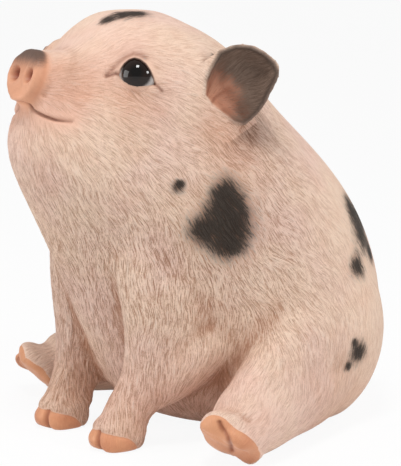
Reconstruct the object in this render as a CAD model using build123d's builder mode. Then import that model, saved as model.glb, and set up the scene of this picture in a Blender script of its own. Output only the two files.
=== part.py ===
from build123d import *
import os

# A sitting piglet ornament, cast in resin in several pieces that are bonded, filled and painted over.
# It faces -Y, its left side is +X and it stands on Z = 0. Everything is in millimetres.

# Overall form of the trunk and head
height = 150.0
body_length = 150.0
body_width = 104.0

# Castings and their bonded joints
wall = 6.0
glue_gap = 0.1
neck_rise_angle = 15.6
neck_height_share = 0.657
neck_spigot_radius = 15.0
neck_spigot_bore_radius = 8.0
peg_radius = 3.6
ear_peg_radius = 2.0
tail_peg_radius = 1.4
socket_extra = 0.8

# Snout and mouth
snout_tilt_angle = 20.0
snout_edge_radius = 1.8
nostril_radius = 2.0
nostril_depth = 5.0
nostril_spacing = 9.0
mouth_width = 1.0
mouth_depth = 1.4

# Eyes
eye_radius = 7.0
eye_rim_radius = 6.0
eye_shank = 4.0
eye_clearance = 0.1

# Feet
toe_length = 17.0
toe_width = 9.2
toe_height = 10.5
toe_spread = 8.6
dewclaw_radius = 3.2
fore_sole_share = (0.176, -0.330, 0.0)
hind_sole_share = (0.596, -0.227, 0.0495)
hind_foot_scale = 1.22
hind_toe_lift_angle = 42.0
hind_toe_splay_angle = 22.0

# Pour hole, its plug and the felt pads
pad_radius = 6.0
pour_hole_radius = 8.0
plug_flange_radius = 10.0
plug_flange_thickness = 2.0
plug_clearance = 0.15

# Each level of the trunk and head: its height, front reach and back reach as shares of height and
# length, half width as a share of width, then how full its front and back quarters are
level_shares = [
    (0.007, -0.060, 0.285, 0.260, 0.70, 0.72),
    (0.030, -0.140, 0.345, 0.350, 0.68, 0.72),
    (0.080, -0.215, 0.400, 0.415, 0.66, 0.72),
    (0.170, -0.270, 0.445, 0.450, 0.66, 0.72),
    (0.300, -0.325, 0.462, 0.460, 0.67, 0.72),
    (0.430, -0.385, 0.435, 0.455, 0.69, 0.71),
    (0.560, -0.450, 0.362, 0.435, 0.70, 0.71),
    (0.660, -0.497, 0.274, 0.400, 0.69, 0.71),
    (0.740, -0.500, 0.187, 0.375, 0.68, 0.71),
    (0.810, -0.460, 0.112, 0.365, 0.69, 0.71),
    (0.880, -0.410, 0.048, 0.335, 0.70, 0.71),
    (0.940, -0.358, -0.028, 0.265, 0.70, 0.71),
    (0.980, -0.310, -0.105, 0.165, 0.71, 0.71),
    (0.999, -0.235, -0.175, 0.035, 0.71, 0.71),
]
widest_share = 0.55

# Places from here on are shares of the width, the length and the height, in that order

# Haunch: its centre, and its radii across, along and upright
haunch_centre_share = (0.238, 0.190, 0.225)
haunch_radius_share = (0.242, 0.205, 0.240)

# Muzzle stations: place along its axis, half width and half height, as shares of the length, the
# width and the height
muzzle_start_share = (0.0, -0.254, 0.778)
muzzle_shares = [
    (0.000, 0.274, 0.170),
    (0.110, 0.180, 0.115),
    (0.190, 0.107, 0.076),
    (0.222, 0.094, 0.067),
    (0.258, 0.100, 0.069),
]

# Half of the mouth seen from the front, from under the snout to its turned-up corner: shares of the
# width and the height
mouth_shares = [
    (0.000, 0.786),
    (0.040, 0.780),
    (0.088, 0.768),
    (0.131, 0.764),
    (0.157, 0.766),
    (0.172, 0.778),
]

# Foreleg stations from the pastern up: the centre, then the radii as shares of the width and length
foreleg_shares = [
    (0.183, -0.306, 0.035, 0.079, 0.052),
    (0.197, -0.282, 0.090, 0.081, 0.066),
    (0.206, -0.256, 0.135, 0.085, 0.076),
    (0.213, -0.237, 0.175, 0.089, 0.086),
    (0.221, -0.204, 0.220, 0.101, 0.114),
    (0.228, -0.195, 0.300, 0.115, 0.128),
    (0.221, -0.208, 0.390, 0.115, 0.124),
    (0.202, -0.232, 0.470, 0.101, 0.105),
    (0.173, -0.250, 0.550, 0.079, 0.080),
    (0.144, -0.250, 0.610, 0.043, 0.045),
]

# Hind leg stations from the hip out to the pastern: the centre, then the radii across and upright as
# shares of the width and height
hind_leg_shares = [
    (0.221, 0.247, 0.137, 0.162, 0.112),
    (0.346, 0.103, 0.115, 0.173, 0.110),
    (0.434, -0.007, 0.103, 0.156, 0.098),
    (0.515, -0.100, 0.093, 0.140, 0.088),
    (0.558, -0.160, 0.087, 0.123, 0.078),
    (0.570, -0.195, 0.088, 0.087, 0.058),
]

# Toe stations from sole to crown: height, then shares of the toe's width and length, then lean back
toe_shares = [
    (0.00, 0.78, 0.86, 0.00),
    (0.14, 0.96, 1.00, 0.00),
    (0.50, 1.00, 0.92, 0.07),
    (1.00, 0.90, 0.70, 0.20),
]

# Ear stations from root to tip: place along the ear, width, bow, thickness and shift across, as
# shares of the height
ear_root_share = (0.365, -0.127, 0.820)
ear_tip_direction = (0.41, 0.82, 0.41)
ear_width_direction = (-0.19, -0.49, 0.85)
ear_shares = [
    (-0.053, 0.100, 0.008, 0.028, -0.008),
    (-0.027, 0.155, 0.016, 0.030, -0.006),
    (0.000, 0.185, 0.026, 0.030, -0.002),
    (0.040, 0.186, 0.033, 0.026, 0.004),
    (0.080, 0.164, 0.032, 0.022, 0.010),
    (0.115, 0.118, 0.023, 0.018, 0.013),
    (0.140, 0.060, 0.011, 0.015, 0.006),
    (0.150, 0.025, 0.005, 0.012, 0.002),
]

# Eye place and the way it looks
eye_share = (0.281, -0.312, 0.870)
eye_direction = (0.74, -0.60, 0.26)

# Tail stations: the centre, then the radius as a share of the height
tail_shares = [
    (0.014, 0.425, 0.190, 0.026),
    (0.029, 0.462, 0.215, 0.024),
    (0.072, 0.474, 0.245, 0.021),
    (0.123, 0.462, 0.250, 0.018),
    (0.151, 0.440, 0.225, 0.014),
    (0.141, 0.432, 0.195, 0.010),
]


def level_wire(row, inset):
    """Draws one level's closed egg-shaped outline, drawn in by inset."""
    front = row[1] * body_length + inset
    back = row[2] * body_length - inset
    half = row[3] * body_width - inset
    middle = front + (back - front) * widest_share
    quarter_front = (half * row[4], middle + (front - middle) * row[4])
    quarter_back = (half * row[5], middle + (back - middle) * row[5])
    points = [(0, front), quarter_front, (half, middle), quarter_back, (0, back)]
    mirrored = [(-x, y) for x, y in reversed(points[1:-1])]
    Spline(*points, *mirrored, periodic=True)


def level_stack(rows, inset):
    """The egg-shaped levels lofted into one solid, drawn in by inset."""
    with BuildPart() as stack:
        for row in rows:
            with BuildSketch(Plane.XY.offset(inset + row[0] * (height - 2 * inset))):
                with BuildLine():
                    level_wire(row, inset)
                make_face()
        loft()
    return stack.part


def place(share):
    """A place, or a set of radii, given as shares of the width, the length and the height."""
    return (body_width * share[0], body_length * share[1], height * share[2])


def muzzle_form(inset):
    """The waisted muzzle on its tilted axis, drawn in by inset."""
    with BuildPart() as form:
        for row in muzzle_shares:
            with BuildSketch(axis.offset(row[0] * body_length)):
                Ellipse(row[1] * body_width - inset, row[2] * height - inset)
        loft()
    return form.part


def haunches(inset):
    """The pair of thigh muscles that bulge out of the trunk, cut level with the seat."""
    with BuildPart() as thighs:
        Sphere(1)
        scale(by=tuple(radius - inset for radius in place(haunch_radius_share)))
        thigh = thighs.part
    with BuildPart() as pair:
        with Locations(place(haunch_centre_share)):
            add(thigh)
        mirror(about=Plane.YZ)
        split(bisect_by=Plane.XY.offset(height * level_shares[0][0] + inset), keep=Keep.TOP)
    return pair.part


def tube(stations):
    """Lofts ellipses along a run of (centre, radius across, radius upright) stations."""
    with BuildPart() as limb:
        last = len(stations) - 1
        for index, (centre, across, upright) in enumerate(stations):
            before = Vector(*stations[max(index - 1, 0)][0])
            after = Vector(*stations[min(index + 1, last)][0])
            level = Plane(origin=centre, x_dir=(after - before).cross(Vector(0, 0, 1)), z_dir=after - before)
            with BuildSketch(level):
                Ellipse(across, upright)
        loft()
    return limb.part


def rod(start, end, radius):
    """A round peg, or the socket for one, from start to end."""
    with BuildPart() as round_rod:
        with BuildSketch(Plane(origin=start, z_dir=Vector(*end) - Vector(*start))):
            Circle(radius)
        extrude(amount=(Vector(*end) - Vector(*start)).length)
    return round_rod.part


def socket(start, end, radius):
    """The hole for a peg, a little wider and deeper than the peg."""
    along = Vector(*end) - Vector(*start)
    return rod(start, tuple(Vector(*end) + along.normalized() * socket_extra), radius + glue_gap)


def foot(sole, size):
    """A cloven foot on its sole plane, toes towards the plane's -Y, with a pair of dewclaws."""
    length = toe_length * size
    tall = toe_height * size
    spread = toe_spread * size / 2
    with BuildPart() as cloven:
        for side in (-1, 1):
            with BuildPart() as toe:
                for row in toe_shares:
                    with BuildSketch(sole.offset(row[0] * tall)):
                        with Locations((side * spread, row[3] * length)):
                            Ellipse(row[1] * toe_width * size / 2, row[2] * length / 2)
                loft()
            add(toe.part)
        claws = Plane(sole.from_local_coords((0, length / 2, tall)), sole.x_dir, sole.z_dir)
        with BuildPart() as dewclaws:
            with Locations(claws):
                with Locations((-spread, 0, 0), (spread, 0, 0)):
                    Sphere(dewclaw_radius)
        add(dewclaws.part)
    return cloven.part


def mirrored(shape):
    """The same shape on the other side of the pig."""
    with BuildPart() as other:
        mirror(shape, about=Plane.YZ)
    return other.part


def seated(form, peg, cutters):
    """A limb cut back to its glue gap, with its peg."""
    with BuildPart() as limb:
        add(form)
        for cutter in cutters:
            add(cutter, mode=Mode.SUBTRACT)
        add(peg)
    return limb.part


# Shared forms
outer_stack = level_stack(level_shares, 0)
cut_stack = level_stack(level_shares, -glue_gap)
inner_stack = level_stack(level_shares, wall)
outer_haunches = haunches(0)
cut_haunches = haunches(-glue_gap)
neck = Plane(origin=(0, 0, height * neck_height_share), x_dir=(1, 0, 0), z_dir=(0, 0, 1))
neck = neck.rotated((neck_rise_angle, 0, 0))

# Limb pegs run from the limb into the trunk
foreleg_peg = (place((0.216, -0.225, 0.200)), place((0.134, -0.105, 0.240)))
hind_peg = (place((0.418, -0.020, 0.100)), place((0.216, 0.100, 0.150)))
ear_peg = (place((0.355, -0.086, 0.836)), place((0.245, -0.117, 0.803)))
tail_peg = (place((0.017, 0.462, 0.205)), place((0.012, 0.415, 0.200)))
eye_plane = Plane(origin=place(eye_share), z_dir=eye_direction)

# Trunk casting
with BuildPart() as body:
    add(outer_stack)
    add(outer_haunches)
    split(bisect_by=neck.offset(-glue_gap / 2), keep=Keep.BOTTOM)
    with BuildPart(mode=Mode.PRIVATE) as trunk_cavity:
        add(inner_stack)
        split(bisect_by=neck.offset(-wall), keep=Keep.BOTTOM)
    add(trunk_cavity.part, mode=Mode.SUBTRACT)
    with BuildSketch(neck):
        Circle(neck_spigot_radius + glue_gap)
    extrude(amount=-2 * wall, mode=Mode.SUBTRACT)
    seat = Plane.XY.offset(height * level_shares[0][0])
    pour_place = (0, body_length * (level_shares[0][1] + level_shares[0][2]) / 2)
    with BuildSketch(seat):
        with Locations(pour_place):
            Circle(pour_hole_radius + plug_clearance)
    extrude(amount=2 * wall, mode=Mode.SUBTRACT)
    with BuildSketch(seat):
        with Locations(pour_place):
            Circle(plug_flange_radius + plug_clearance)
    extrude(amount=plug_flange_thickness + plug_clearance, mode=Mode.SUBTRACT)
    with BuildPart(mode=Mode.PRIVATE) as sockets:
        add(socket(*foreleg_peg, peg_radius))
        add(socket(*hind_peg, peg_radius))
        mirror(about=Plane.YZ)
        add(socket(*tail_peg, tail_peg_radius))
    add(sockets.part, mode=Mode.SUBTRACT)
body.part.label = "body"

# Head casting: cranium, jowls and muzzle, with the mouth cut round its front
axis = Plane(origin=place(muzzle_start_share), x_dir=(1, 0, 0), z_dir=(0, -1, 0))
axis = axis.rotated((-snout_tilt_angle, 0, 0))

with BuildPart() as muzzle:
    add(muzzle_form(0))
    fillet(muzzle.faces().sort_by(Axis.Y)[0].edges(), radius=snout_edge_radius)
    with BuildSketch(axis.offset(muzzle_shares[-1][0] * body_length)):
        with GridLocations(nostril_spacing, 0, 2, 1):
            SlotCenterToCenter(nostril_radius / 2, 2 * nostril_radius, rotation=90)
    extrude(amount=-nostril_depth, mode=Mode.SUBTRACT)

with BuildPart() as mouth:
    with BuildSketch(Plane.XZ.offset(-body_length * muzzle_start_share[1])):
        with BuildLine():
            half_mouth = [(body_width * side, height * level) for side, level in mouth_shares]
            other_half = [(-side, level) for side, level in reversed(half_mouth[1:])]
            Spline(*other_half, *half_mouth)
        trace(line_width=mouth_width)
    extrude(amount=body_length / 2)
    add(level_stack(level_shares, mouth_depth), mode=Mode.SUBTRACT)
    add(muzzle_form(mouth_depth), mode=Mode.SUBTRACT)

with BuildPart() as head:
    add(outer_stack)
    split(bisect_by=neck.offset(glue_gap / 2), keep=Keep.TOP)
    add(muzzle.part)
    add(mouth.part, mode=Mode.SUBTRACT)
    with BuildPart(mode=Mode.PRIVATE) as head_cavity:
        add(inner_stack)
        split(bisect_by=neck.offset(wall), keep=Keep.TOP)
    add(head_cavity.part, mode=Mode.SUBTRACT)
    with BuildSketch(neck.offset(glue_gap / 2)):
        Circle(neck_spigot_radius)
    extrude(amount=-wall)
    with BuildSketch(neck.offset(-wall)):
        Circle(neck_spigot_bore_radius)
    extrude(amount=3 * wall, mode=Mode.SUBTRACT)
    with BuildPart(mode=Mode.PRIVATE) as head_sockets:
        with BuildSketch(eye_plane.offset(-eye_shank - eye_clearance)):
            Circle(eye_rim_radius + eye_clearance)
        extrude(amount=3 * eye_shank)
        add(socket(*ear_peg, ear_peg_radius))
        mirror(about=Plane.YZ)
    add(head_sockets.part, mode=Mode.SUBTRACT)
head.part.label = "head"

# Eyes: glass cabochons, a domed front on a short shank
with BuildPart() as left_eye:
    with BuildSketch(eye_plane.offset(-eye_shank)):
        Circle(eye_rim_radius)
    extrude(amount=2 * eye_shank)
    dome_drop = (eye_radius**2 - eye_rim_radius**2) ** 0.5
    with Locations(eye_plane.offset(-dome_drop)):
        Sphere(eye_radius, mode=Mode.INTERSECT)
left_eye.part.label = "left_eye"

with BuildPart() as right_eye:
    mirror(left_eye.part, about=Plane.YZ)
right_eye.part.label = "right_eye"

# Ears
with BuildPart() as ear_form:
    root = Plane(origin=place(ear_root_share), x_dir=ear_width_direction, z_dir=ear_tip_direction)
    for row in ear_shares:
        half = row[1] * height / 2
        bow = row[2] * height
        thick = row[3] * height
        middle = row[4] * height
        with BuildSketch(root.offset(row[0] * height)):
            with BuildLine():
                ThreePointArc((middle - half, 0), (middle, -bow - thick / 2), (middle + half, 0))
                ThreePointArc((middle + half, 0), (middle, -bow + thick / 2), (middle - half, 0))
            make_face()
    loft()
ear_rod = rod(*ear_peg, ear_peg_radius)

with BuildPart() as left_ear:
    add(seated(ear_form.part, ear_rod, [cut_stack]))
left_ear.part.label = "left_ear"

with BuildPart() as right_ear:
    add(seated(mirrored(ear_form.part), mirrored(ear_rod), [cut_stack]))
right_ear.part.label = "right_ear"

# Forelegs
with BuildPart() as foreleg_form:
    for row in foreleg_shares:
        with BuildSketch(Plane(origin=place(row[:3]))):
            Ellipse(row[3] * body_width, row[4] * body_length)
    loft()
    add(foot(Plane(origin=place(fore_sole_share)), 1))
foreleg_rod = rod(*foreleg_peg, peg_radius)

with BuildPart() as left_foreleg:
    add(seated(foreleg_form.part, foreleg_rod, [cut_stack]))
left_foreleg.part.label = "left_foreleg"

with BuildPart() as right_foreleg:
    add(seated(mirrored(foreleg_form.part), mirrored(foreleg_rod), [cut_stack]))
right_foreleg.part.label = "right_foreleg"

# Hind legs
with BuildPart() as hind_leg_form:
    add(tube([(place(row[:3]), row[3] * body_width, row[4] * height) for row in hind_leg_shares]))
    sole = Plane(origin=place(hind_sole_share)).rotated((0, 0, hind_toe_splay_angle))
    add(foot(sole.rotated((-hind_toe_lift_angle, 0, 0)), hind_foot_scale))
hind_rod = rod(*hind_peg, peg_radius)

with BuildPart() as left_hind_leg:
    add(seated(hind_leg_form.part, hind_rod, [cut_stack, cut_haunches]))
left_hind_leg.part.label = "left_hind_leg"

with BuildPart() as right_hind_leg:
    add(seated(mirrored(hind_leg_form.part), mirrored(hind_rod), [cut_stack, cut_haunches]))
right_hind_leg.part.label = "right_hind_leg"

# Tail
with BuildPart() as tail:
    curl = tube([(place(row[:3]), row[3] * height, row[3] * height) for row in tail_shares])
    add(seated(curl, rod(*tail_peg, tail_peg_radius), [cut_stack]))
tail.part.label = "tail"

# Plug for the pour hole
with BuildPart() as base_plug:
    with BuildSketch(seat):
        with Locations(pour_place):
            Circle(pour_hole_radius)
    extrude(amount=2 * wall)
    with BuildSketch(seat):
        with Locations(pour_place):
            Circle(plug_flange_radius)
    extrude(amount=plug_flange_thickness)
base_plug.part.label = "base_plug"

# Felt pads under the seat
with BuildPart() as seat_pads:
    with BuildSketch():
        with Locations(pour_place):
            with PolarLocations(plug_flange_radius + pad_radius + plug_clearance, 3, start_angle=90):
                Circle(pad_radius)
    extrude(amount=height * level_shares[0][0])
seat_pads.part.label = "seat_pads"

pieces = [
    body,
    head,
    left_eye,
    right_eye,
    left_ear,
    right_ear,
    left_foreleg,
    right_foreleg,
    left_hind_leg,
    right_hind_leg,
    tail,
    base_plug,
    seat_pads,
]
os.makedirs("parts", exist_ok=True)
whole = Compound([piece.part for piece in pieces]).bounding_box()
centring = Location((-whole.center().X, -whole.center().Y, -whole.min.Z))
for piece in pieces:
    export_step(piece.part.moved(centring), f"parts/{piece.part.label}.step")
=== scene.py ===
import math
from itertools import product

import bpy
import numpy as np
from mathutils import Matrix, Vector
from mathutils.bvhtree import BVHTree


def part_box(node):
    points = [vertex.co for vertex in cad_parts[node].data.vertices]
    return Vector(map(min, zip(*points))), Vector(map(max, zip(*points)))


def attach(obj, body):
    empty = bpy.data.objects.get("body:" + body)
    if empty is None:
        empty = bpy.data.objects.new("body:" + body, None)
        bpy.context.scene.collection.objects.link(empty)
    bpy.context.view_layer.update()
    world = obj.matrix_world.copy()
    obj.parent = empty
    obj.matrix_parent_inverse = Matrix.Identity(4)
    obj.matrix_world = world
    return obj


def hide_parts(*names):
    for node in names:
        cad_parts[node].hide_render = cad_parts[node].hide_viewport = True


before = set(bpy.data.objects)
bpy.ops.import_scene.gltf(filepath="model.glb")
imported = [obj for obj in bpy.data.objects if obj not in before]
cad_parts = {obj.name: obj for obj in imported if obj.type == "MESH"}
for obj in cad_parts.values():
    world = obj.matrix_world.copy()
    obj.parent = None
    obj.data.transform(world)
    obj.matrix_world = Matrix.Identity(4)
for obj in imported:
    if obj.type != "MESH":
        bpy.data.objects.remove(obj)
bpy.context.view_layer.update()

# A sitting piglet in painted resin. It faces -Y and its left side is +X. Lengths in the tables are
# millimetres, and places on its left side stand for both sides
MM = 0.001

# Size of the cells that the castings are joined with
clay_grain = 0.85

# Snout: middle of its disc, the way it faces, the way up it, its radii, and its nostrils' place and radii
snout_middle = np.array((0.0, -73.0, 129.9))
snout_out = np.array((0.0, -0.940, 0.342))
snout_up = np.array((0.0, 0.342, 0.940))
snout_across_radius = 10.2
snout_upright_radius = 10.2
nostril_side = 4.5
nostril_across_radius = 2.5
nostril_upright_radius = 2.7

# Eye: middle of its rim, the ways out of it, back along the head and up, its ball, and the lids' opening,
# fold and creases as (back, up) places
eye_middle = np.array((29.25, -45.28, 130.5))
eye_out = np.array((0.749, -0.607, 0.263))
eye_back = np.array((0.630, 0.777, 0.0))
eye_up = np.array((-0.204, 0.166, 0.964))
ball_radius = 7.0
ball_depth = 3.6
opening = [
    (-5.9, -0.3), (-5.4, 1.5), (-4.2, 3.2), (-2.7, 4.5), (-1.1, 5.0), (0.8, 4.4), (2.7, 2.9), (4.1, 0.9),
    (5.1, -1.3), (5.8, -3.3), (4.3, -3.6), (2.2, -4.1), (-0.1, -4.3), (-2.3, -3.8), (-4.2, -2.6),
    (-5.5, -1.4),
]
lid_fold = [(-10.3, 0.1), (-8.5, 1.9), (-6.5, 3.9), (-4.2, 5.8), (-1.6, 7.0), (0.5, 6.7), (2.4, 5.6)]
front_crease = [(-5.7, -0.2), (-7.4, 0.2), (-9.1, -0.1), (-10.6, -0.5)]
back_crease = [(5.7, -3.2), (6.8, -4.1), (8.0, -5.2)]

# Ear: middle of its root, the ways to its tip, across it and out of its bowl, its outline and notch as
# (along, across) places, and the thickness of its rolled rim
ear_root = np.array((37.96, -17.5, 123.0))
ear_along = np.array((0.408, 0.816, 0.408))
ear_across = np.array((-0.138, -0.387, 0.912))
ear_out = np.array((0.902, -0.428, -0.045))
ear_edge = [
    (-5.0, 2.4), (-2.6, 6.4), (1.2, 9.6), (5.6, 12.8), (11.2, 12.5), (15.6, 10.1), (18.8, 6.2), (20.6, 2.1),
    (20.7, -1.6), (19.0, -3.5), (15.8, -6.0), (12.3, -8.9), (8.7, -11.0), (6.0, -12.1), (3.2, -12.8),
    (0.6, -10.8), (-2.0, -5.8), (-4.2, -1.2),
]
ear_notch = [(1.2, 9.6), (-2.6, 6.4), (-5.0, 2.4), (-4.2, -1.2), (-2.0, -5.8), (0.6, -10.8)]
ear_roll_radius = 1.05
ear_roll_shares = [0.4, 0.4, 0.7] + [1.0] * 12 + [0.8, 0.5, 0.4]

# Mouth, from under the middle of the snout to its turned-up corner
mouth = [
    (0.0, -75.2, 120.4), (1.2, -75.1, 120.4), (3.2, -74.4, 120.4), (4.0, -73.0, 119.8), (4.2, -71.6, 118.9),
    (4.6, -70.4, 118.0), (6.0, -70.0, 117.2), (9.1, -69.0, 116.0), (12.2, -67.4, 115.1), (15.2, -65.3, 114.7),
    (17.0, -63.8, 114.6),
]

# Feet: the hind coronet's middle, the way from it into the hoof and the way it runs, the feet's middles
# and the hind foot's own ways. The clefts are (x, z) places on each fore foot. The hind foot's is as seen
# from before its sole, in places to the right and up
hind_coronet = np.array((71.6, -28.8, 13.9))
hind_hoof_way = np.array((0.65, -0.64, -0.41))
hind_coronet_run = np.array((0.37, 0.76, -0.534))
fore_foot = np.array((18.4, -46.8, 5.0))
hind_foot = np.array((63.0, -31.0, 10.0))
hind_sole = np.array((61.98, -32.53, 7.43))
hind_toe_way = np.array((0.279, -0.689, 0.669))
hind_foot_up = np.array((-0.251, 0.620, 0.743))
hind_foot_side = np.array((0.927, 0.375, 0.0))
left_fore_cleft = [(13.8, 12.5), (15.6, 10.4), (18.2, 8.2), (19.8, 6.4), (20.6, 4.2), (20.8, -1.0)]
right_fore_cleft = [(-15.3, 13.0), (-15.7, 10.5), (-15.8, 8.4), (-15.1, 6.0), (-14.7, 3.6), (-14.7, -1.0)]
hind_cleft_right = np.array((0.5736, 0.8192, 0.0))
hind_cleft_up = np.array((-0.138, 0.0966, 0.986))
hind_cleft = [(6.9, 4.2), (7.5, 2.7), (8.8, 0.8), (9.7, -0.9), (10.5, -3.2), (11.1, -5.9)]

# Pour hole under the seat, with the recess that shows its plug, and the felt pads round it
pour_middle = np.array((0.0, 16.875))
flange_radius = 10.0
recess_depth = 2.6
pads_ring_radius = 16.15
pad_radius = 5.95
pad_bevel = 0.25

# Carved strokes of the fur, and the finer strands that the paint shows between them
stroke_width, stroke_length, stroke_depth = 0.45, 2.6, 0.24
strand_width, strand_step = 0.36, 0.34

# How far a guide of the fur's lie reaches, and where the trunk's skin is cut in a front and a back
guide_reach = 18.0
trunk_cut = 14.0

# Picture: the camera's distance in metres, its focal length and the frame's height in pixels, and the
# sensor's height in millimetres
view_distance = 0.762
focal_pixels = 2100
frame_height = 466
sensor_size = 36


def deselect():
    if bpy.context.object and bpy.context.object.mode != "OBJECT":
        bpy.ops.object.mode_set(mode="OBJECT")
    bpy.ops.object.select_all(action="DESELECT")


def pick(*pieces):
    deselect()
    for piece in pieces:
        piece.select_set(True)
    bpy.context.view_layer.objects.active = pieces[0]


def apply_modifier(piece, kind, **settings):
    pick(piece)
    modifier = piece.modifiers.new(kind.lower(), kind)
    for name, value in settings.items():
        setattr(modifier, name, value)
    bpy.ops.object.modifier_apply(modifier=modifier.name)


def settle(piece):
    """Puts a piece's place into its mesh."""
    pick(piece)
    bpy.ops.object.transform_apply(location=True, rotation=True, scale=True)


def points_of(piece):
    """A mesh's points in millimetres."""
    flat = np.empty(len(piece.data.vertices) * 3)
    piece.data.vertices.foreach_get("co", flat)
    return flat.reshape(-1, 3) / MM


def put_points(piece, points):
    piece.data.vertices.foreach_set("co", (points * MM).ravel())
    piece.data.update()


def normals_of(piece):
    flat = np.empty(len(piece.data.vertices) * 3)
    piece.data.vertex_normals.foreach_get("vector", flat)
    return flat.reshape(-1, 3)


def edges_of(piece):
    flat = np.empty(len(piece.data.edges) * 2, int)
    piece.data.edges.foreach_get("vertices", flat)
    return flat.reshape(-1, 2)


def store(piece, name, values):
    """Keeps a number or a way for each point of a mesh, under a name that the paint reads."""
    kind, field = ("FLOAT_VECTOR", "vector") if values.ndim == 2 else ("FLOAT", "value")
    kept = piece.data.attributes.get(name) or piece.data.attributes.new(name, kind, "POINT")
    kept.data.foreach_set(field, values.astype(np.float32).ravel())


def stored(piece, name, width=1):
    kept = piece.data.attributes[name]
    flat = np.empty(len(kept.data) * width, np.float32)
    kept.data.foreach_get("vector" if width == 3 else "value", flat)
    return flat.astype(float) if width == 1 else flat.reshape(-1, width).astype(float)


def keep_largest(piece):
    """Deletes every loose part of a mesh but the one with most points."""
    pairs = edges_of(piece)
    label = np.arange(len(piece.data.vertices))
    while True:
        low = np.minimum(label[pairs[:, 0]], label[pairs[:, 1]])
        spread = label.copy()
        np.minimum.at(spread, pairs[:, 0], low)
        np.minimum.at(spread, pairs[:, 1], low)
        spread = spread[spread]
        if (spread == label).all():
            break
        label = spread
    values, sizes = np.unique(label, return_counts=True)
    pick(piece)
    bpy.ops.object.mode_set(mode="EDIT")
    bpy.ops.mesh.select_all(action="DESELECT")
    bpy.ops.object.mode_set(mode="OBJECT")
    piece.data.vertices.foreach_set("select", label != values[sizes.argmax()])
    bpy.ops.object.mode_set(mode="EDIT")
    bpy.ops.mesh.delete(type="VERT")
    bpy.ops.object.mode_set(mode="OBJECT")


def smoothstep(low, high, values):
    part = np.clip((values - low) / (high - low), 0, 1)
    return part * part * (3 - 2 * part)


def distance_to(points, path):
    """How far points lie from a path of straight stretches, in as many dimensions as it has."""
    path = np.asarray(path, float)
    best = np.full(len(points), 1e9)
    for start, end in zip(path[:-1], path[1:]):
        way = end - start
        part = np.clip((points - start) @ way / (way @ way), 0, 1)
        best = np.minimum(best, np.linalg.norm(points - start - part[:, None] * way, axis=1))
    return best


def inside_distance(flat, outline):
    """How far flat places lie inside a closed outline, less than 0 outside it."""
    loop = np.array(list(outline) + [outline[0]], float)
    inside = np.zeros(len(flat), bool)
    for start, end in zip(loop[:-1], loop[1:]):
        crosses = (start[1] > flat[:, 1]) != (end[1] > flat[:, 1])
        rise = end[1] - start[1]
        reach = start[0] + (flat[:, 1] - start[1]) * (end[0] - start[0]) / (rise if rise else 1)
        inside ^= crosses & (flat[:, 0] < reach)
    return np.where(inside, 1, -1) * distance_to(flat, loop)


def sides_of(points):
    """Factors that turn a left-hand way round for points on the right side."""
    return np.where(points[:, :1] < 0, (-1, 1, 1), (1, 1, 1))


def folded(points):
    """Points of both sides, all laid on the left side."""
    return points * sides_of(points)


def bell(distance, spread):
    """1 at no distance, falling off softly past the spread."""
    return np.exp(-((distance / spread) ** 2))


random_values = np.random.default_rng(7).random((64, 64, 64))


def mottle(points, size):
    """Smooth random values from 0 to 1 with blotches of a given size."""
    cell = points / size
    base = np.floor(cell).astype(int)
    part = cell - base
    part = part * part * (3 - 2 * part)
    total = np.zeros(len(points))
    for corner in product((0, 1), repeat=3):
        weight = np.where(corner, part, 1 - part).prod(axis=1)
        total += weight * random_values[tuple(((base + corner) % 64).T)]
    return total


def strokes(points, way, size, length):
    """Random values drawn out along a way, with a mean of 0 and a spread of 1."""
    total = sum(mottle(points + way * shift, size) for shift in np.linspace(-length / 2, length / 2, 7))
    return (total - total.mean()) / total.std()


class Clay:
    """A mesh's points as clay: what is done on the left side is done on the right as well."""

    def __init__(self, piece):
        self.piece = piece
        self.points = points_of(piece)
        self.edges = edges_of(piece)
        self.normals = normals_of(piece)

    def settle(self):
        """Gives the mesh its new points and takes its normals afresh."""
        put_points(self.piece, self.points)
        self.normals = normals_of(self.piece)

    def brush(self, centre, radius):
        """How strongly a round brush touches each point: 1 at its centre, 0 past its radius."""
        reach = np.linalg.norm((folded(self.points) - centre) / radius, axis=1)
        return np.clip(1 - reach**2, 0, 1) ** 2

    def move(self, strength, way):
        """Moves points along one way, which is turned round on the right side."""
        self.points += strength[:, None] * np.asarray(way, float) * sides_of(self.points)

    def swell(self, strength):
        self.points += self.normals * strength[:, None]

    def smoothed(self, strength, rounds):
        """The points after smoothing, each by its own strength."""
        count = len(self.points)
        first, second = self.edges[(strength[self.edges] > 0).any(axis=1)].T
        links = np.bincount(first, minlength=count) + np.bincount(second, minlength=count)
        links = np.maximum(links, 1)
        points = self.points.copy()
        for _ in range(rounds):
            middle = np.empty_like(points)
            for axis in range(3):
                line = points[:, axis]
                middle[:, axis] = np.bincount(first, line[second], count)
                middle[:, axis] += np.bincount(second, line[first], count)
            points += strength[:, None] * (middle / links[:, None] - points)
        return points

    def relax(self, strength, rounds):
        self.points = self.smoothed(strength, rounds)


def copy_of(names, title, extras=()):
    """One new piece from copies of CAD nodes, with their loose triangles merged, and extra pieces."""
    copies = []
    for name in names:
        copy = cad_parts[name].copy()
        copy.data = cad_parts[name].data.copy()
        copy.parent = None
        bpy.context.scene.collection.objects.link(copy)
        copies.append(copy)
    pick(*copies, *extras)
    bpy.ops.object.join()
    piece = bpy.context.object
    piece.name = title
    for key in list(piece.keys()):
        del piece[key]
    pick(piece)
    bpy.ops.object.mode_set(mode="EDIT")
    bpy.ops.mesh.select_all(action="SELECT")
    bpy.ops.mesh.remove_doubles(threshold=0.000001)
    bpy.ops.object.mode_set(mode="OBJECT")
    return piece


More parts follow.
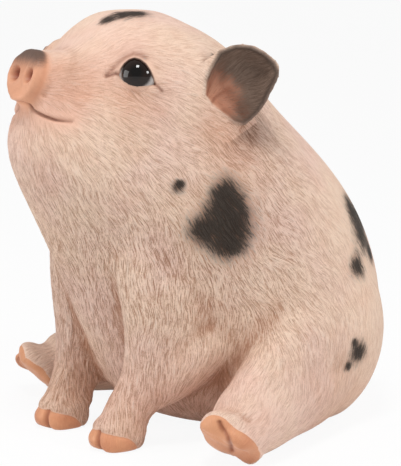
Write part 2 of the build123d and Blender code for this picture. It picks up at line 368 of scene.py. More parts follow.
def lump(centre, radii, across=(1, 0, 0), onward=(0, 1, 0), sides=(1, -1)):
    """Egg-shaped lumps of clay, one on each side, with radii across, onward and square to both."""
    lumps = []
    for side in sides:
        turned = np.array((side, 1, 1))
        first, second = np.array(across) * turned, np.array(onward) * turned
        axes = np.column_stack((first, second, np.cross(first, second)))
        deselect()
        bpy.ops.mesh.primitive_uv_sphere_add(segments=32, ring_count=16, radius=1)
        piece = bpy.context.object
        shape = Matrix((axes * np.array(radii) * MM).tolist()).to_4x4()
        shape.translation = Vector(np.array(centre) * turned * MM)
        piece.matrix_world = shape
        settle(piece)
        lumps.append(piece)
    return lumps


def ear_rolls():
    """The rounded rim round each ear, a tube along the ear's outline."""
    rolls = []
    outline = [ear_root + ear_along * along + ear_across * across for along, across in ear_edge]
    for side in (1, -1):
        curve = bpy.data.curves.new("ear_roll", "CURVE")
        curve.dimensions = "3D"
        curve.bevel_depth = ear_roll_radius * MM
        spline = curve.splines.new("NURBS")
        spline.points.add(len(outline) - 1)
        for point, place, share in zip(spline.points, outline, ear_roll_shares):
            point.co = (side * place[0] * MM, place[1] * MM, place[2] * MM, 1)
            point.radius = share
        spline.order_u = 3
        spline.use_cyclic_u = True
        roll = bpy.data.objects.new("ear_roll", curve)
        bpy.context.scene.collection.objects.link(roll)
        pick(roll)
        bpy.ops.object.convert(target="MESH")
        rolls.append(bpy.context.object)
    return rolls


cast_nodes = [
    "body", "head", "left_eye", "right_eye", "left_ear", "right_ear", "left_foreleg", "right_foreleg",
    "left_hind_leg", "right_hind_leg", "tail", "base_plug",
]
clay_lumps = [
    # Chin, upper lip and the floors of the nostrils
    *lump((0.5, -66.6, 115.2), (6.5, 6.2, 5.6), (1, 0, 0), (0, 0.94, 0.34), (1,)),
    *lump((8.0, -63.4, 119.5), (7.0, 6.5, 6.0)),
    *lump((4.2, -68.4, 117.6), (4.6, 3.0, 3.4)),
    *lump((4.5, -70.6, 129.0), (4.2, 3.4, 5.0), (1, 0, 0), snout_out),
    # Thigh rising into the flank
    *lump((50.0, -4.0, 25.0), (11.0, 21.0, 12.5), (0.93, 0.36, 0), (-0.32, 0.85, 0.42)),
    *lump((44.0, 14.0, 33.0), (11.0, 20.0, 16.0), (0.97, 0.22, 0), (-0.12, 0.86, 0.5)),
    # Heel pad, pastern and the filled toes of the hind foot
    *lump((60.5, -29.0, 8.7), (10.5, 8.5, 3.8), hind_foot_side, hind_toe_way),
    *lump((59.3, -25.95, 13.8), (9.5, 7.5, 5.0), hind_foot_side, hind_toe_way),
    *lump(
        hind_sole + 4.2 * hind_toe_way + 5.0 * hind_foot_up, (8.6, 8.4, 5.2), hind_foot_side, hind_toe_way
    ),
    # Filled toes of the fore foot, the shin over them and the elbow
    *lump((18.4, -52.6, 3.6), (7.4, 5.6, 3.6)),
    *lump((18.4, -50.0, 7.4), (7.2, 6.2, 5.0)),
    *lump((18.5, -46.5, 13.5), (5.9, 5.8, 9.5)),
    *lump((26.8, -26.0, 27.4), (9.6, 20.0, 11.0), (-0.49, -0.485, 0.726), (0.33, 0.67, 0.667)),
]
skin = copy_of(cast_nodes, "skin", [*clay_lumps, *ear_rolls()])
apply_modifier(skin, "REMESH", mode="VOXEL", voxel_size=clay_grain * MM)
keep_largest(skin)

# Smoothing: a little all over, much more on all but the snout, eyes, ears, feet and tail, and yet more
# on the thighs, the pasterns and the snout's bridge
clay = Clay(skin)
left = folded(clay.points)
crisp = np.zeros(len(left))
for centre, radius in [
    (snout_middle, 12), (eye_middle, 9), (ear_root + ear_along * 10, 22), (fore_foot, 13), (hind_foot, 17),
    (np.array((6.0, 69.0, 34.0)), 17),
]:
    away = np.linalg.norm(left - centre, axis=1)
    crisp = np.maximum(crisp, 1 - smoothstep(0.75 * radius, 1.15 * radius, away))
clay.relax(0.5 * np.ones(len(left)), 6)
clay.relax(0.5 * (1 - crisp), 70)
on_thigh = np.maximum(
    clay.brush(np.array((50.0, -2.0, 32.0)), np.array((22.0, 30.0, 18.0))),
    clay.brush(np.array((46.0, 22.0, 44.0)), np.array((22.0, 26.0, 22.0))),
)
clay.relax(0.5 * smoothstep(0.0, 0.4, on_thigh), 120)
on_pastern_or_bridge = np.maximum(
    clay.brush(np.array((18.5, -46.0, 16.0)), np.array((14.0, 14.0, 11.0))),
    clay.brush(np.array((2.0, -68.0, 138.0)), np.array((9.0, 9.0, 6.0))),
)
clay.relax(0.5 * smoothstep(0.0, 0.35, on_pastern_or_bridge), 60)

# The hind foot's outer edge is lifted off the floor, and the sides of the snout's bridge are filled
clay.move(2.4 * clay.brush(np.array((70.8, -30.0, 2.8)), 9.0), (-0.12, 0.28, 0.95))
clay.move(1.2 * clay.brush(np.array((5.0, -65.0, 137.0)), 9.0), (0.1, -0.3, 0.95))
clay.settle()

# Recess round the pour hole, so that the plug's flange shows
from_plug = np.hypot(*(clay.points[:, :2] - pour_middle).T)
over_plug = (1 - smoothstep(flange_radius, flange_radius + 1.0, from_plug)) * (clay.points[:, 2] < 4)
clay.move(recess_depth * over_plug, (0, 0, 1))
clay.settle()


def snout_places(points):
    """Places on the snout: ahead of its disc, up it, and as shares of the disc's and nostril's radii."""
    part = folded(points) - snout_middle
    ahead, above = part @ snout_out, part @ snout_up
    ring = np.hypot(part[:, 0] / snout_across_radius, above / snout_upright_radius)
    across = (part[:, 0] - nostril_side) / nostril_across_radius
    nostril_ring = np.hypot(across, above / nostril_upright_radius)
    return ahead, above, ring, nostril_ring


# Snout: a shallow hollow in its disc, a rim round that and round each nostril, and a waist behind
ahead, above, ring, nostril_ring = snout_places(clay.points)
low_fade = smoothstep(-9.5, -4.0, above)
on_disc = smoothstep(-3.0, -1.2, ahead) * (1 - smoothstep(1.0, 1.2, ring))
clay.move(-0.5 * on_disc * (1 - smoothstep(0.35, 0.92, ring)), snout_out)
clay.move(0.4 * low_fade * on_disc * bell(ring - 0.88, 0.12), snout_out)
clay.move(0.35 * on_disc * bell(nostril_ring - 1.35, 0.3), snout_out)
clay.move(-3.0 * on_disc * (1 - smoothstep(0.45, 1.1, nostril_ring)), snout_out)
waist = bell(ahead + 5.0, 1.8) * (ring > 0.6) * (ring < 1.6) * (above > -6)
clay.swell(-0.8 * waist)


def ear_places(points):
    """Places on the ear: along to its tip, across it, and out from the plane of its rim."""
    part = folded(points) - ear_root
    return part @ ear_along, part @ ear_across, part @ ear_out


# Cup of the ear, deepest just inside the notch
along, across, out = ear_places(clay.points)
from_rim = inside_distance(np.column_stack((along, across)), ear_edge)
from_notch = distance_to(np.column_stack((along, across)), ear_notch)
in_ear = smoothstep(0.3, 1.6, from_rim) * (np.abs(out) < 7)
facing = smoothstep(-0.1, 0.4, folded(clay.normals) @ ear_out)
funnel = smoothstep(0.0, 2.0, from_notch) * (1 - smoothstep(2.0, 10.0, from_notch))
cup = 1.8 * smoothstep(0.6, 6.5, from_rim) + 3.6 * funnel * (1 - smoothstep(1.0, 9.0, along))
clay.relax(0.5 * in_ear * facing, 30)
clay.move(-cup * in_ear * facing, ear_out)
clay.settle()

# Hollows, by how far smoothing fills them. The paint darkens them as painted shade
crowd = clay.smoothed(np.full(len(clay.points), 0.6), 90)
sunk = ((crowd - clay.points) * clay.normals).sum(axis=1)
full_hollow_depth = 1.6
hollow = np.clip(sunk / full_hollow_depth, 0, 1)

# Lie of the carved fur: places, the way it lies at each, and how deep it is cut
fur_guides = [
    ((0, -66, 138), (0, 0.8, 0.6), 0.25), ((0, -50, 147), (0, 1, 0.3), 0.35),
    ((0, -25, 150), (0, 1, 0), 0.35), ((0, 10, 130), (0, 0.8, -0.6), 0.5),
    ((20, -62, 122), (0.5, 0.8, -0.1), 0.45), ((33, -45, 118), (0.1, 0.9, -0.4), 0.5),
    ((36, -30, 125), (0, 1, -0.1), 0.5), ((36, -30, 105), (0, 0.6, -0.8), 0.8),
    ((0, -72, 112), (0, -0.1, -1), 0.6), ((0, -66, 95), (0, 0.3, -1), 0.9),
    ((28, -50, 95), (0, 0.4, -0.9), 1.0), ((38, -10, 100), (0, 0.6, -0.8), 0.9),
    ((0, -58, 75), (0, 0.3, -1), 1.0), ((40, -10, 80), (0, 0.7, -0.7), 1.0),
    ((0, 35, 100), (0, 0.5, -0.85), 0.3), ((46, 20, 60), (0, 0.9, -0.45), 0.8),
    ((44, 5, 35), (0, 0.6, -0.8), 1.0), ((20, 62, 40), (0, 0.3, -1), 0.35),
    ((44, 35, 35), (0.1, -0.4, -0.9), 0.45), ((45, 0, 15), (0.45, -0.85, -0.2), 0.55),
    ((0, -25, 20), (0, 0.6, -0.8), 0.9), ((28, -30, 50), (0, -0.1, -1), 1.0),
    ((21, -40, 20), (0, -0.2, -1), 0.9), ((60, -22, 16), (0.4, -0.85, -0.3), 0.5),
    ((35, 40, 80), (0, 0.6, -0.8), 0.3),
]

# Warm pink places, with a radius and the strength of the tint
warm_places = [
    ((12, -66, 119), 10, 1.0), ((3, -76, 121), 8, 1.0), ((14, -62, 130), 10, 1.0),
    ((30, -50, 127), 14, 0.55), ((0, -60, 118), 16, 0.35), ((22, -30, 10), 18, 1.0),
    ((20, -14, 8), 22, 1.0), ((60, -24, 15), 13, 0.25), ((18, -48, 12), 12, 0.5), ((40, -20, 112), 12, 0.4),
    # The place at (40, -12, 103) is painted shade under the ear
    ((40, -12, 103), 13, 0.8), ((34, -48, 119), 9, 0.5), ((24, -44, 140), 14, 0.4), ((44, 22, 6), 22, 0.7),
    ((10, 60, 12), 22, 0.6),
]

left = folded(clay.points)
guide_weights = np.column_stack([
    np.exp(-(((left - np.array(place)) ** 2).sum(axis=1)) / guide_reach**2 / 2) + 1e-12
    for place, _, _ in fur_guides
])
guide_weights /= guide_weights.sum(axis=1)[:, None]
comb = guide_weights @ np.array([way for _, way, _ in fur_guides], float)
comb[:, 0] *= np.where(clay.points[:, 0] < 0, -1, 1)
fur_depth = guide_weights @ np.array([depth for _, _, depth in fur_guides])
warm = sum(
    strength * np.exp(-(((left - np.array(place)) ** 2).sum(axis=1)) / radius**2)
    for place, radius, strength in warm_places
)
for name, values in {"hollow": hollow, "comb": comb, "fur_depth": fur_depth, "warm": warm}.items():
    store(skin, name, values)

# The casting that each face of the skin lies nearest to. The eyes count as the head, and the plug as the
# body
castings = [
    "body", "head", "left_ear", "right_ear", "left_foreleg", "right_foreleg", "left_hind_leg",
    "right_hind_leg", "tail",
]
eye_casting, plug_casting = castings.index("head"), castings.index("body")
cad_points, cad_faces, face_casting = [], [], []
for number, name in enumerate(castings + ["left_eye", "right_eye", "base_plug"]):
    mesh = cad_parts[name].data
    start = len(cad_points)
    cad_points += [point.co.copy() for point in mesh.vertices]
    cad_faces += [[start + point for point in face.vertices] for face in mesh.polygons]
    number = {"left_eye": eye_casting, "right_eye": eye_casting, "base_plug": plug_casting}.get(name, number)
    face_casting += [number] * len(mesh.polygons)
cad_tree = BVHTree.FromPolygons(cad_points, cad_faces)
labels = np.array([face_casting[cad_tree.find_nearest(face.center)[2]] for face in skin.data.polygons])
skin.data.materials.clear()
for name in castings:
    skin.data.materials.append(bpy.data.materials.new(name))
skin.data.polygons.foreach_set("material_index", labels)

# Finer points for the small forms
apply_modifier(skin, "SUBSURF", levels=1, render_levels=1)
clay = Clay(skin)
hollow = stored(skin, "hollow")


def eye_places(points):
    """Places round the eye: back along the head, up the lids, and out from the rim."""
    part = folded(points) - eye_middle
    return part @ eye_back, part @ eye_up, part @ eye_out


def opening_distance(back, up):
    """Distance from the lids' edge, less than 0 in the opening."""
    return -inside_distance(np.column_stack((back, up)), opening)


# Eyelids, folded round a ball that stands behind them. Past the ball's edge they run level
ball_edge = 14
back, up, out = eye_places(clay.points)
by_eye = (np.hypot(back, up) < 16) & (np.abs(out) < 9)
back, up, out = back[by_eye], up[by_eye], out[by_eye]
edge = opening_distance(back, up)
ball = np.sqrt(np.clip(ball_radius**2 - back**2 - up**2, ball_edge, None)) - ball_depth
upper = smoothstep(-2.0, 1.5, up + 0.25 * back)
lid = ball + 0.24 + 0.53 * upper
under_ball = 1.3
tucked = ball - under_ball
rim = np.where(edge < 0.4, tucked + (lid - tucked) * smoothstep(-0.45, 0.25, edge), lid)
reach_of_lid = 1 - smoothstep(0.5, 5.6 + 0.8 * upper, edge)
new_out = out + (rim - out) * reach_of_lid
flat = np.column_stack((back, up))
from_fold = distance_to(flat, lid_fold)
from_creases = np.minimum(distance_to(flat, front_crease), distance_to(flat, back_crease))
new_out -= 0.6 * bell(from_fold, 1.0)
new_out -= 0.8 * bell(distance_to(flat, front_crease), 0.6)
new_out -= 0.5 * bell(distance_to(flat, back_crease), 0.55)
lift = np.zeros(len(clay.points))
lift[by_eye] = new_out - out
clay.move(lift, eye_out)
lid_skin = np.zeros(len(clay.points))
lid_skin[by_eye] = 1 - smoothstep(0.4, 1.5 + 1.2 * upper, edge)
lid_line = np.zeros(len(clay.points))
lid_line[by_eye] = (1 - smoothstep(0.25, 0.8, edge)) * (0.35 + 0.65 * upper)
eye_fold = np.zeros(len(clay.points))
eye_fold[by_eye] = np.maximum(0.75 * bell(from_fold, 1.0), bell(from_creases, 0.6))

# Mouth, with the upper lip a little over it. Beside the snout its line is drawn as seen from the front,
# so that it lies on the lip, and it grows fainter to its corner
left = folded(clay.points)
mouth = np.array(mouth)
snout_side = 3.9
from_front = np.array((1, 0.25, 1))
from_mouth = np.where(
    left[:, 0] > snout_side, distance_to(left * from_front, mouth * from_front), distance_to(left, mouth)
)
clay.settle()
before_corner = smoothstep(0.0, 8.0, np.linalg.norm(left - mouth[-1], axis=1))
clay.swell(-(0.5 + 0.75 * before_corner) * bell(from_mouth, 0.6))
clay.swell(0.45 * bell(distance_to(left, mouth + (0, 0, 1.6)), 1.1))
clay.settle()

# Hooves: how far each point is past its coronet, and the clefts between the toes
left = folded(clay.points)
fore_line = 7.2 - 0.25 * (left[:, 1] + 56) - 0.09 * np.clip(left[:, 1] + 50, 0, None) ** 2
in_fore_hoof = fore_line - left[:, 2]
by_coronet = left - hind_coronet
bend = 2.0 - 0.03 * (by_coronet @ hind_coronet_run + 1.5) ** 2
in_hind_hoof = by_coronet @ hind_hoof_way - np.clip(bend, -4, 2)
by_fore_foot = (np.linalg.norm(left - fore_foot, axis=1) < 15) & (left[:, 1] < -41)
by_hind_foot = np.linalg.norm(left - hind_foot, axis=1) < 17
by_hind_foot &= left @ hind_toe_way > hind_sole @ hind_toe_way - 8
hoof = np.where(by_fore_foot, smoothstep(-0.6, 0.6, in_fore_hoof), 0)
under_foot = smoothstep(0.1, 0.45, folded(clay.normals) @ np.array((0.0, -0.67, -0.74)))
by_sole = by_hind_foot & (np.linalg.norm(left - (63.5, -31.5, 9.0), axis=1) < 13.5)
hind_hoof = np.maximum(smoothstep(-0.5, 0.5, in_hind_hoof), by_sole * under_foot)
hoof = np.where(by_hind_foot, hind_hoof, hoof)
coronet = by_fore_foot * bell(in_fore_hoof, 0.6) + by_hind_foot * bell(in_hind_hoof, 0.6)
clay.swell(-0.18 * coronet)

flat = clay.points[:, [0, 2]]
from_fore_cleft = np.where(
    clay.points[:, 0] > 0, distance_to(flat, left_fore_cleft), distance_to(flat, right_fore_cleft)
)
fore_cleft = by_fore_foot * smoothstep(-49.0, -52.5, left[:, 1]) * smoothstep(13.0, 6.0, left[:, 2])
flat = np.column_stack((left @ hind_cleft_right, left @ hind_cleft_up))
from_hind_cleft = distance_to(flat, hind_cleft)
hind_front = by_hind_foot & (folded(clay.normals) @ hind_hoof_way > 0)
for depth, spread in [(0.6, 2.0), (0.9, 0.7)]:
    clay.move(depth * fore_cleft * bell(from_fore_cleft, spread), (0, 0.9, 0.2))
    clay.move(depth * hind_front * bell(from_hind_cleft, spread), -hind_hoof_way)
cleft = np.maximum(fore_cleft * bell(from_fore_cleft, 0.8), hind_front * bell(from_hind_cleft, 0.8))
clay.settle()

# Dark patches, which run into each other: places with a radius
patches = [
    ((7.6, -37.5, 149.0), 4.2), ((8.6, -32.0, 149.6), 4.8), ((6.2, -43.0, 147.3), 2.8),
    ((42.6, -18.4, 89.5), 5.6), ((43.0, -19.0, 84.5), 6.6), ((43.7, -16.6, 78.8), 8.6),
    ((41.0, -26.4, 77.6), 6.0), ((43.4, -17.6, 73.0), 6.4), ((38.4, -35.0, 92.8), 2.3),
    ((32.0, 45.0, 76.5), 6.6), ((34.4, 47.2, 68.5), 7.2), ((32.0, 52.5, 60.5), 4.5),
    ((24.0, 52.0, 72.0), 8.0), ((42.4, 39.4, 58.2), 4.9), ((48.9, 35.2, 28.5), 4.6),
    ((49.4, 32.6, 32.6), 1.6), ((49.2, 30.4, 23.8), 1.8), ((-40.0, 6.0, 88.0), 10.0),
    ((-44.0, 12.0, 77.0), 7.0), ((-38.0, -30.0, 62.0), 4.0), ((-46.0, 30.0, 42.0), 5.5),
    ((-20.0, 46.0, 88.0), 5.0),
]

points, normals = clay.points, clay.normals
left = folded(points)
comb, fur_depth, warm = stored(skin, "comb", 3), stored(skin, "fur_depth"), stored(skin, "warm")

# Fur in the ears runs out from their root
along, across, out = ear_places(points)
flat = np.column_stack((along, across))
from_rim = inside_distance(flat, ear_edge)
by_ear = np.hypot(np.maximum(np.abs(along - 8) - 12, 0), np.maximum(np.abs(across) - 13, 0)) < 3
by_ear &= (np.abs(out) < 8) & (left[:, 1] > -27)
facing = smoothstep(-0.2, 0.3, folded(normals) @ ear_out)
in_ear = by_ear * facing * smoothstep(-0.3, 0.5, from_rim)
ear_spread = (along + 9)[:, None] * ear_along + across[:, None] * ear_across
ear_spread *= sides_of(points)
ear_spread /= np.linalg.norm(ear_spread, axis=1)[:, None]
comb = np.where((in_ear > 0.3)[:, None], ear_spread, comb)

# All fur lies along the skin, a little ruffled
comb -= normals * (comb * normals).sum(axis=1)[:, None]
comb /= np.maximum(np.linalg.norm(comb, axis=1), 1e-6)[:, None]
turn = 0.8 * (mottle(points, 5.0) - 0.5)
comb = comb * np.cos(turn)[:, None] + np.cross(normals, comb) * np.sin(turn)[:, None]

# Smooth skin on the snout, hooves, lids, lips and ears, and fur carved in the rest
ahead, above, ring, nostril_ring = snout_places(points)
snout = smoothstep(-7.0, -3.0, ahead) * (1 - smoothstep(1.25, 1.6, ring))
snout_grey = smoothstep(-1.5, 9.0, above + 0.5 * ahead) * smoothstep(-7.0, -2.0, ahead)
snout_grey *= 1 - smoothstep(1.3, 1.6, ring)
nostril = snout * (1 - smoothstep(0.5, 1.05, nostril_ring))
mouth_line = (0.4 + 0.6 * before_corner) * bell(from_mouth, 0.5)
lips = bell(from_mouth, 3.0) * (left[:, 1] < -60)
smooth_skin = np.maximum.reduce([snout, hoof, lid_skin, 0.7 * lips, 0.55 * in_ear])
fur_depth = fur_depth * (1 - np.clip(smooth_skin, 0, 1))

ridge = strokes(points, comb, stroke_width, stroke_length)
carving = 0.5 + 0.5 * np.tanh(0.8 * ridge)
clay.swell(stroke_depth * fur_depth * (carving - 0.6))
clay.swell(-0.35 * fur_depth * hollow)
clay.settle()

# Where the paint changes: patches with broken edges, the ears' dark tips, folds and backs, and the
# shadow under each ear
bare = np.ones(len(points))
broken = points + 1.6 * (np.column_stack([mottle(points + 9.0 * k, 4.0) for k in range(3)]) - 0.5)
for place, radius in patches:
    reach = np.linalg.norm(broken - np.array(place), axis=1) / radius
    bare *= 1 - np.exp(-0.95 * reach**2)
from_root = np.hypot(along + 4.0, 0.85 * (across + 1.0))
ear_dark = smoothstep(2.0, 15.0, from_root + 4.0 * (mottle(points, 4.0) - 0.5))
fold_count = 11
ear_folds = smoothstep(0.2, 1.0, np.cos(fold_count * np.arctan2(across + 1.0, along + 9.0)))
ear_folds *= bell(from_root, 8.0)
ear_back = by_ear * (1 - facing) * smoothstep(-4.0, 2.0, along) * (np.abs(out) < 6)
under_ear = (left - np.array((38.0, -6.0, 109.0))) / np.array((9, 10, 6))
ear_shadow = np.exp(-(under_ear**2).sum(axis=1)) * (1 - by_ear)

ear_edge_line = by_ear * (facing > 0) * (1 - smoothstep(0.3, 1.5, np.abs(from_rim)))
thin_lines = np.maximum.reduce([mouth_line, 0.8 * eye_fold, 0.7 * in_ear * ear_folds])

for name, values in {
    "comb": comb, "carving": carving, "fur_depth": fur_depth, "creases": hollow, "spots": 1 - bare,
    "warm": np.clip(warm, 0, 1), "snout": snout, "snout_grey": snout_grey, "nostril": nostril,
    "thin_lines": thin_lines, "hoof": hoof, "cleft": cleft, "lid_line": lid_line, "lid_skin": lid_skin,
    "ear_bowl": in_ear, "ear_dark": ear_dark, "ear_back": ear_back, "ear_edge": ear_edge_line,
    "ear_shadow": ear_shadow, "whole_normal": clay.normals,
}.items():
    store(skin, name, values)


class Value:
    """One output in a material's nodes. Arithmetic on it adds Math nodes."""

    def __init__(self, tree, socket):
        self.tree = tree
        self.socket = socket

    def node(self, kind, settings=None, inputs=None, output=0):
        """Adds a node and gives one of its outputs."""
        made = self.tree.nodes.new("ShaderNode" + kind)
        for name, value in (settings or {}).items():
            setattr(made, name, value)
        for name, value in (inputs or {}).items():
            if isinstance(value, Value):
                self.tree.links.new(value.socket, made.inputs[name])
            else:
                made.inputs[name].default_value = value
        return Value(self.tree, made.outputs[output])

    def math(self, operation, first, second, clamp=False):
        return self.node("Math", {"operation": operation, "use_clamp": clamp}, {0: first, 1: second})

    def __add__(self, other):
        return self.math("ADD", self, other)

    __radd__ = __add__

    def __sub__(self, other):
        return self.math("SUBTRACT", self, other)

    def __rsub__(self, other):
        return self.math("SUBTRACT", other, self)

    def __mul__(self, other):
        return self.math("MULTIPLY", self, other)

    __rmul__ = __mul__

    def at_least(self, other):
        """The larger of two values."""
        return self.math("MAXIMUM", self, other)

    def step(self, low, high):
        """A soft step from 0 at low to 1 at high."""
        limits = {"Value": self, "From Min": low, "From Max": high}
        return self.node("MapRange", {"interpolation_type": "SMOOTHSTEP"}, limits)

    def blend(self, first, second):
        """A colour between two, by this value. A Mix node's sockets 6, 7 and 2 are its colours."""
        return self.node("Mix", {"data_type": "RGBA"}, {0: self, 6: first, 7: second}, 2)

    def shifted(self, way, length):
        """This place, moved by a length along a way."""
        return self.node(
            "VectorMath", {"operation": "MULTIPLY_ADD"}, {0: way, 1: (length, length, length), 2: self}
        )

    def noise(self, size, detail=1.0):
        return self.node("TexNoise", None, {"Vector": self, "Scale": 1 / size, "Detail": detail})


def colour(red, green, blue):
    """A colour in display values of 0 to 255 as a node takes it."""
    parts = [value / 255 for value in (red, green, blue)]
    return tuple(p / 12.92 if p <= 0.04045 else ((p + 0.055) / 1.055) ** 2.4 for p in parts) + (1.0,)


def new_material(name):
    """A material with its Principled shader, and a start for its values."""
    material = bpy.data.materials.new(name)
    material.use_nodes = True
    tree = material.node_tree
    start = Value(tree, None)
    place = start.node("TexCoord", None, None, "Object")
    return material, tree.nodes["Principled BSDF"], place


def wire(value, shader, name):
    value.tree.links.new(value.socket, shader.inputs[name])


def resin_paint(name):
    """Paint on carved resin: painted highlights on ridges, painted shade in grooves, patches, hooves, snout
    and ears.
    """
    material, shader, place = new_material(name)

    def kept(title, output="Fac"):
        return place.node("Attribute", {"attribute_name": title}, None, output)

    # Strands are noise that is spread along the comb
    comb_way = kept("comb", "Vector")
    places = [place.shifted(comb_way, k * strand_step * MM) for k in range(-3, 4)]
    strand = sum(sample.noise(strand_width * MM) for sample in places) * (1 / 7)
    strand = strand.step(0.38, 0.62)
    blotch = place.noise(9 * MM, 3.0)
    broad = place.noise(30 * MM, 2.0)
    fur = kept("fur_depth")
    relief = kept("carving") * 0.3 + strand * 0.7
    groove = 1 - relief.step(0.1, 0.75)

    # Fleece, with painted shade in its creases and grooves, and painted highlights on its ridges
    fleece = broad.step(0.35, 0.65).blend(colour(243, 214, 192), colour(240, 207, 191))
    fleece = (kept("warm") * 0.62 + blotch.step(0.45, 0.75) * 0.2).blend(fleece, colour(218, 164, 138))
    # Painted shade in the hollows and creases, a darker brown
    crease_shade = (kept("creases") * 1.9).step(0.0, 1.0)
    fleece = (crease_shade * 0.75).blend(fleece, colour(176, 122, 94))
    # Painted shade in the fur's grooves, deeper where the fur is deep and in creases
    groove_shade_tone = broad.blend(colour(166, 116, 84), colour(156, 110, 86))
    groove_shade_depth = fur * fur * 0.45 + fur * 0.36 + kept("creases") * 0.6 + 0.05
    tone = (groove * groove_shade_depth).blend(fleece, groove_shade_tone)
    # Painted highlight on the ridges of the fur
    tone = (relief.step(0.55, 0.95) * fur * 0.45).blend(tone, colour(250, 229, 211))

    # Snout, with its grey top and its nostrils
    snout_tone = blotch.step(0.3, 0.7).blend(colour(202, 144, 114), colour(220, 162, 130))
    greyed = (kept("snout_grey") + strand * 0.15 - 0.1).step(0.1, 0.9)
    snout_tone = greyed.blend(snout_tone, colour(104, 82, 72))
    tone = kept("snout").blend(tone, snout_tone)
    tone = (kept("nostril") * 0.85).blend(tone, colour(138, 66, 48))

    # Hooves and their clefts
    hoof_tone = blotch.step(0.35, 0.7).blend(colour(214, 152, 114), colour(196, 130, 96))
    hoof_tone = (strand * 0.25).blend(hoof_tone, colour(240, 184, 146))
    hoof_tone = (kept("cleft") * 0.75).blend(hoof_tone, colour(140, 78, 54))
    tone = (kept("hoof") + (strand - 0.5) * 0.35).step(0.3, 0.7).blend(tone, hoof_tone)

    # Ears: the bowl, its dark tip, the back, the edge and the shadow underneath
    bowl_tone = strand * 0.6 + blotch.step(0.3, 0.7) * 0.4
    bowl_tone = bowl_tone.blend(colour(160, 106, 84), colour(206, 150, 122))
    dark_ear = strand.blend(colour(84, 68, 58), colour(128, 106, 92))
    bowl_tone = (kept("ear_dark") + (strand - 0.5) * 0.5).step(0.1, 0.9).blend(bowl_tone, dark_ear)
    tone = kept("ear_bowl").blend(tone, bowl_tone)
    back_tone = (strand * 0.7).blend(colour(112, 94, 82), colour(178, 146, 126))
    tone = (kept("ear_back") * 0.9).blend(tone, back_tone)
    tone = (kept("ear_edge") * kept("ear_dark") * 0.8).blend(tone, colour(70, 56, 48))
    tone = (kept("ear_shadow") * (0.45 + groove * 0.5)).blend(tone, colour(116, 82, 62))

    # Dark patches
    spot = (kept("spots") + (strand - 0.5) * 0.45 + (kept("carving") - 0.5) * 0.25).step(0.1, 0.88)
    spot_tone = (relief * 0.6).blend(colour(6, 5, 5), colour(66, 55, 46))
    tone = (spot * 0.97).blend(tone, spot_tone)

    # Eyelids, their dark edge, and the lines of the mouth, creases and folds
    tone = (kept("lid_skin") * 0.3).blend(tone, colour(222, 184, 160))
    tone = (kept("lid_line") * 0.95).blend(tone, colour(58, 36, 28))
    tone = (kept("thin_lines") * 0.85).blend(tone, colour(128, 74, 54))
    wire(tone, shader, "Base Color")

    shine = 0.62 - kept("snout").at_least(kept("hoof")) * 0.18 + groove * fur * 0.15 + (blotch - 0.5) * 0.12
    wire(shine, shader, "Roughness")
    height = relief * fur + place.noise(0.5 * MM, 2.0) * 0.12 + blotch * 0.1
    bump = place.node("Bump", None, {"Strength": 1.0, "Distance": 0.5 * MM, "Height": height})
    wire(bump, shader, "Normal")
    shader.inputs["Specular IOR Level"].default_value = 0.25
    return material


# Separate castings, each with the joined skin's normals so that no seam shows. The trunk's skin is cut in
# four and the head's in two
centres = np.empty(len(skin.data.polygons) * 3)
skin.data.polygons.foreach_get("center", centres)
centres = centres.reshape(-1, 3) / MM
casting_of = np.empty(len(centres), int)
skin.data.polygons.foreach_get("material_index", casting_of)
titles = list(castings)
side = (centres[:, 0] < 0).astype(int)
quarter = side + 2 * (centres[:, 1] > trunk_cut)
for name, cut, ends in [
    ("body", quarter, ["front_left", "front_right", "back_left", "back_right"]),
    ("head", side, ["left", "right"]),
]:
    own = casting_of == castings.index(name)
    for number, end in enumerate(ends):
        titles.append(name + "_" + end)
        skin.data.materials.append(bpy.data.materials.new(titles[-1]))
        casting_of[own & (cut == number)] = len(titles) - 1
skin.data.polygons.foreach_set("material_index", casting_of)
pick(skin)
bpy.ops.object.mode_set(mode="EDIT")
bpy.ops.mesh.select_all(action="SELECT")
bpy.ops.mesh.separate(type="MATERIAL")
bpy.ops.object.mode_set(mode="OBJECT")
shells = list(bpy.context.selected_objects)
body_paint = resin_paint("painted_resin")
ear_paint = resin_paint("ear_paint")
for shell in shells:
    title = shell.data.materials[0].name.split(".")[0]
    shell.name = title + "_skin"
    shell.data.materials.clear()
    in_ear_slot = title.endswith("ear")
    shell.data.materials.append(ear_paint if in_ear_slot else body_paint)
    shell.data.polygons.foreach_set("material_index", [0] * len(shell.data.polygons))
    pick(shell)
    bpy.ops.object.shade_smooth()
    shell.data.normals_split_custom_set_from_vertices(stored(shell, "whole_normal", 3))
    shell.data.attributes.remove(shell.data.attributes["whole_normal"])
    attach(shell, "root")
    node = next(name for name in castings if title.startswith(name))
    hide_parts(node)


def eye_glass():
    """Glass over a black pupil and a dark brown iris, with a little grey white at the back corner."""
    material, shader, place = new_material("eye_glass")
    iris = place.node("Attribute", {"attribute_name": "iris"}, None, "Fac")
    rays = place.noise(0.7 * MM, 3.0)
    tone = iris.step(0.25, 0.75).blend(colour(8, 6, 5), colour(34, 21, 15))
    tone = (rays * 0.35).blend(tone, colour(14, 9, 7))
    white = (iris + (rays - 0.5) * 0.1).step(1.0, 1.25)
    tone = white.blend(tone, colour(176, 168, 164))
    wire(tone, shader, "Base Color")
    wire(0.06 + rays * 0.03, shader, "Roughness")
    bump = place.node("Bump", None, {"Strength": 0.05, "Distance": 0.02 * MM, "Height": rays})
    wire(bump, shader, "Normal")
    shader.inputs["Specular IOR Level"].default_value = 0.1
    shader.inputs["Coat Weight"].default_value = 1.0
    shader.inputs["Coat IOR"].default_value = 1.33
    shader.inputs["Coat Roughness"].default_value = 0.02
    return material


